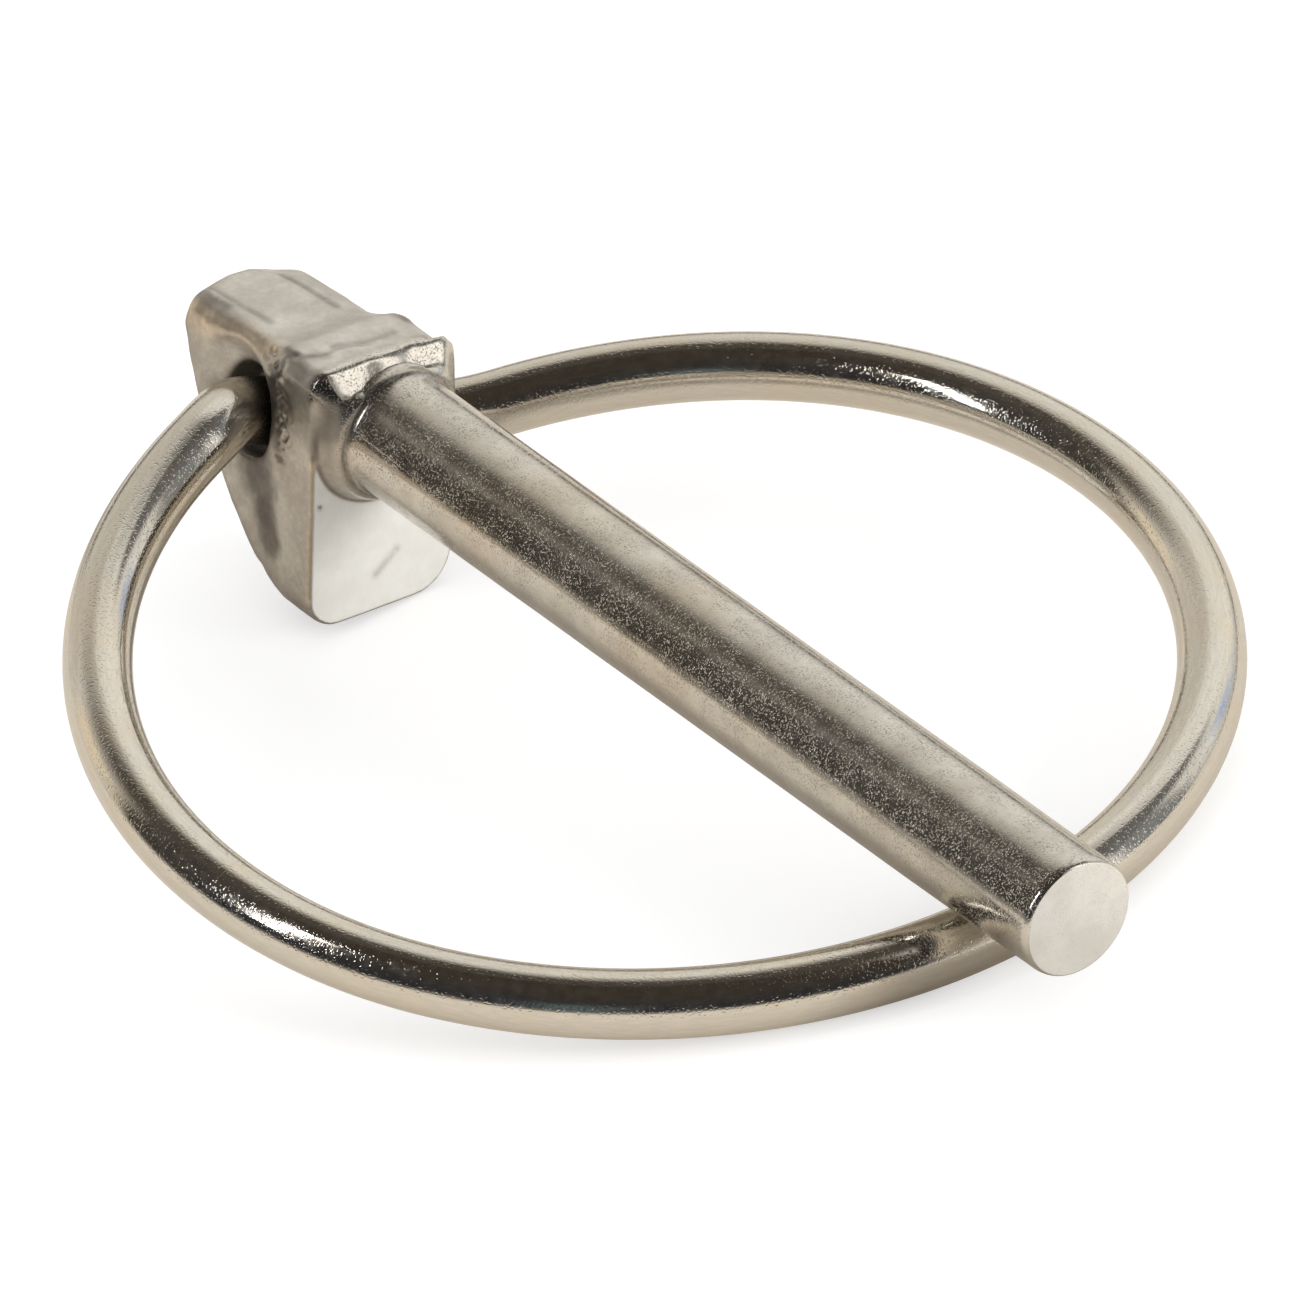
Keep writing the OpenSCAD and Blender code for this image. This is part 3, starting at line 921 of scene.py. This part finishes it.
def grime_and_shade_share(points):
    """Darkening in the marks, in the corners round the collar and in the bore: partly dirt, partly painted shade.
    """
    inside = 1 - rising(bore_distance(points), *BORE_RADIUS)
    inside = inside * (1 - rising(abs(points[:, 1]), *BORE_MOUTH_Y))
    lower = 1 - rising(points[:, 2], *COLLAR_LOWER_Z)
    corner = CORNER_SHADE * near_circle(points, *COLLAR_FOOT)
    corner = corner + EDGE_SHADE * lower * near_circle(points, *COLLAR_EDGE)
    return np.maximum(np.maximum(marked(points, GRIME_AND_SHADE, True), corner), BORE_SHADE * inside)


def bloom_and_light_share(points, normals):
    """The chalky white bloom of the front face, and less of it on the tip's face and the head's top, painted
    near-white to stand for the light these faces catch.
    """
    x, _, z = points.T
    front = rising(normals[:, 0], *FORWARD) * (1 - rising(x, *FRONT_X)) * rising(x, *FRONT_FROM_X)
    front *= 1 - rising(z, *FRONT_Z)
    tip = rising(normals[:, 0], *TIP_FORWARD) * rising(x, *TIP_X)
    top = rising(normals[:, 2], *UPWARD) * (1 - rising(x, *TOP_X))
    return front + TIP_BLOOM_AND_LIGHT * tip + TOP_BLOOM_AND_LIGHT * top


def painted_shade_share(points, normals):
    """Painted brown-dark shade on the -Y side, with its painted dark strip and a few darker painted marks."""
    leftward = rising(-normals[:, 1], *LEFTWARD)
    side = leftward * (1 - rising(points[:, 0], *SIDE_X))
    uneven = STRIP_UNEVEN * rough_field(points, STRIP_UNEVEN_SIZE)
    strip = STRIP_SHADE * rising(marked(points, STRIP, True) + uneven, *STRIP_EDGE)
    painted_shade = np.maximum(marked(points, PAINTED_SHADE_MARKS, True), strip * leftward)
    return np.maximum(SIDE_SHADE * side, painted_shade)


def build_pin():
    """The forged head and the turned shank as one piece, which keeps where it is worn and soiled, and where shade,
    glints and light are painted on it.
    """
    piece = build_head()
    join_shank(piece)
    piece.name = "forged_pin"
    mesh = piece.data
    mesh.polygons.foreach_set("use_smooth", [True] * len(mesh.polygons))
    points = vertex_values(mesh, "co") / MM
    give(piece, "forged", forged_share(points))
    normals = vertex_values(mesh, "normal")
    # darkening from dirt and painted shade
    give(piece, "grime_and_shade", grime_and_shade_share(points))
    # the chalky bloom, partly painted light on the front face, tip face and top
    give(piece, "bloom_and_light", bloom_and_light_share(points, normals))
    # painted shade on the -Y side
    give(piece, "painted_shade", painted_shade_share(points, normals))
    # painted golden glints on the head's edges
    give(piece, "gold_glint", marked(points, GOLD_GLINTS, True))
    mesh.materials.clear()
    mesh.materials.append(plated_steel())
    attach(piece, "pin")
    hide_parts("pin")


# --- Surroundings ---

def lowest_on_floor(normal):
    """How far along the floor's normal the part's lowest point lies."""
    return min(vertex.co.dot(normal) for node in frame["nodes"].values() for vertex in node.data.vertices)


def build_floor():
    normal = floor_normal()
    corners = [(-FLOOR_HALF, -FLOOR_HALF, 0), (FLOOR_HALF, -FLOOR_HALF, 0),
               (FLOOR_HALF, FLOOR_HALF, 0), (-FLOOR_HALF, FLOOR_HALF, 0)]
    mesh = bpy.data.meshes.new("floor")
    mesh.from_pydata(corners, [], [(0, 1, 2, 3)])
    floor = link("floor", mesh)
    floor.rotation_mode = "QUATERNION"
    floor.rotation_quaternion = normal.to_track_quat("Z", "Y")
    floor.location = normal * lowest_on_floor(normal)
    mesh.materials.append(floor_material())


# What the metal mirrors besides the pale room: (azimuth span, elevation span, softness, strength, colour).
CARDS = [
    ((8, 22), (2, 58), 3, 0.9, shade(0.42, 0.40, 0.37)),
    ((19, 28), (26, 66), 3, 0.85, shade(0.075, 0.07, 0.065)),
    ((28, 47), (1, 62), 3, 1.0, shade(1.50, 1.45, 1.38)),
    ((50, 71), (-4, 44), 4, 0.88, shade(0.15, 0.165, 0.185)),
    ((50, 100), (41, 74), 5, 0.88, shade(0.062, 0.058, 0.066)),
    ((87, 96), (13, 31), 4, 0.8, shade(0.36, 0.48, 0.80)),
    ((104, 116), (16, 42), 5, 0.7, shade(1.08, 1.03, 0.92)),
    ((82, 176), (-2, 8), 2, 0.85, shade(0.10, 0.10, 0.105)),
    ((-163, -148), (-4, 20), 4, 0.8, shade(0.95, 0.82, 0.63)),
]
CAMERA_SIDE_CARDS = [
    ((-146, -122), (-10, 60), 4, 0.85, shade(0.060, 0.052, 0.045)),
    ((-60, -46), (1, 22), 7, 0.8, shade(0.13, 0.18, 0.19)),
]
CAMERA_SIDE_SPAN = (-143, 9, 3)
ROOM_HIGH_DULL = shade(0.84, 0.815, 0.755)
ROOM_HIGH_CLEAN = shade(0.97, 0.95, 0.90)
ROOM_LOW = shade(0.56, 0.525, 0.475)
SIDE_DULL = shade(0.64, 0.60, 0.535)
SIDE_CLEAN = shade(0.72, 0.68, 0.61)
CEILING = shade(0.075, 0.065, 0.055)
WHITE = shade(1.0, 1.0, 1.0)
CAMERA_SIDE_LOW = shade(0.026, 0.027, 0.033)
CAMERA_SIDE_HIGH = shade(0.044, 0.036, 0.028)
HAZE = shade(0.40, 0.375, 0.34)
CLOUDS_SCALE, CLOUDS_EDGE = 3.5, (0.35, 0.65)

# Where they change, in degrees: of elevation, or of azimuth from 0 to 360.
ROOM_RISE = (3, 22)
SIDE_TURN = (138, 166)
CEILING_TURN, CEILING_EDGES, CEILING_SOFT = (150, 212), (64, 30), (-15, 13)
# The same as heights, where 1 is straight up: above the part's frame, and above the tilted floor.
CAMERA_SIDE_RISE = (0.1, 0.9)
HAZE_RISE = (-0.05, 0.13)


def degree_ramp(n, value, low, high, to_low=0.0, to_high=1.0):
    """A soft step of a value in radians, between two angles in degrees."""
    return n.ramp(value, radians(low), radians(high), to_low, to_high)


def band(n, value, low, high, soft):
    """1 between two angles, in degrees, with soft ends."""
    up = degree_ramp(n, value, low - soft, low + soft)
    down = degree_ramp(n, value, high - soft, high + soft, 1.0, 0.0)
    return n.math("MULTIPLY", up, down)


def add_cards(n, azimuth, elevation, colour, cards):
    for across, upright, soft, strength, tint in cards:
        here = n.math("MULTIPLY", band(n, azimuth, *across, soft), band(n, elevation, *upright, soft))
        colour = n.mix(n.math("MULTIPLY", here, strength), colour, tint)
    return colour


def far_side(n, where, azimuth, elevation):
    """The pale room with its cards, under a dark ceiling that comes lower towards the camera's left."""
    turn = n.math("FLOORED_MODULO", azimuth, 2 * pi)
    clouds = n.ramp(n.noise(where, CLOUDS_SCALE, detail=3), *CLOUDS_EDGE)
    high = n.mix(clouds, ROOM_HIGH_DULL, ROOM_HIGH_CLEAN)
    room = n.mix(degree_ramp(n, elevation, *ROOM_RISE), ROOM_LOW, high)
    side = n.mix(clouds, SIDE_DULL, SIDE_CLEAN)
    pale = n.mix(degree_ramp(n, turn, *SIDE_TURN), room, side)
    carded = add_cards(n, azimuth, elevation, pale, CARDS)
    edge = degree_ramp(n, turn, *CEILING_TURN, *(radians(height) for height in CEILING_EDGES))
    over = degree_ramp(n, n.math("SUBTRACT", elevation, edge), *CEILING_SOFT)
    return n.mix(over, carded, CEILING)


def camera_side(n, where, azimuth, elevation, up):
    """The dark side that the camera stands on, hazy just above the floor's horizon."""
    lift = n.dot(where, floor_normal())
    dark = n.mix(n.ramp(up, *CAMERA_SIDE_RISE), CAMERA_SIDE_LOW, CAMERA_SIDE_HIGH)
    carded = add_cards(n, azimuth, elevation, dark, CAMERA_SIDE_CARDS)
    return n.mix(n.ramp(lift, *HAZE_RISE), HAZE, carded)


def build_world():
    """A studio whose camera side and ceiling are dark to reflections, and whose far side is pale."""
    world = bpy.data.worlds.new("studio")
    bpy.context.scene.world = world
    world.use_nodes = True
    n = Nodes(world.node_tree)
    path = n.add("ShaderNodeLightPath")
    where = n.add("ShaderNodeTexCoord").outputs["Generated"]
    east, north, up = n.add("ShaderNodeSeparateXYZ", {0: where}).outputs
    azimuth = n.math("ARCTAN2", north, east)
    elevation = n.math("ARCSINE", up)
    room = far_side(n, where, azimuth, elevation)
    dark = camera_side(n, where, azimuth, elevation, up)
    reflected = n.mix(band(n, azimuth, *CAMERA_SIDE_SPAN), room, dark)
    glossy = n.mix(path.outputs["Is Glossy Ray"], WHITE, reflected)
    colour = n.mix(path.outputs["Is Camera Ray"], glossy, WHITE)
    back = n.add("ShaderNodeBackground", {"Color": colour, "Strength": 1.0})
    n.add("ShaderNodeOutputWorld", {0: back.outputs[0]})


# Lamps, which face the camera's aim: (name, azimuth, elevation, width, height, watts, distance, mirrored).
LAMPS = [
    ("window", -106, 30, 0.03, 0.26, 0.25, 0.5, True),
    ("fill", 28, 22, 0.35, 0.35, 3.9, 0.7, False),
]


def build_lamp(name, azimuth, elevation, width, height, watts, distance, mirrored):
    lamp = bpy.data.lights.new(name, "AREA")
    lamp.shape = "RECTANGLE"
    lamp.size = width
    lamp.size_y = height
    lamp.energy = watts
    holder = link(name, lamp)
    away = direction(azimuth, elevation)
    holder.location = Vector(CAMERA_AIM) * MM + away * distance
    holder.rotation_mode = "QUATERNION"
    holder.rotation_quaternion = away.to_track_quat("Z", "Y")
    holder.visible_glossy = mirrored


def build_camera():
    lens = bpy.data.cameras.new("camera")
    lens.sensor_width = SENSOR_WIDTH
    lens.lens = CAMERA_LENS
    lens.clip_start, lens.clip_end = CAMERA_CLIP
    camera = link("camera", lens)
    back = direction(CAMERA_AZIMUTH, CAMERA_ELEVATION)
    right = Vector((0, 0, 1)).cross(back).normalized()
    up = back.cross(right)
    roll = radians(CAMERA_ROLL)
    rolled_right = right * cos(roll) + up * sin(roll)
    rolled_up = up * cos(roll) - right * sin(roll)
    turned_to = Matrix((rolled_right, rolled_up, back)).transposed().to_4x4()
    place = Vector(CAMERA_AIM) * MM + back * CAMERA_DISTANCE * MM
    camera.matrix_world = Matrix.Translation(place) @ turned_to
    bpy.context.scene.camera = camera


build_ring()
build_pin()
build_floor()
build_world()
for lamp in LAMPS:
    build_lamp(*lamp)
build_camera()
bpy.context.scene.view_settings.view_transform = "Standard"

bpy.context.view_layer.update()
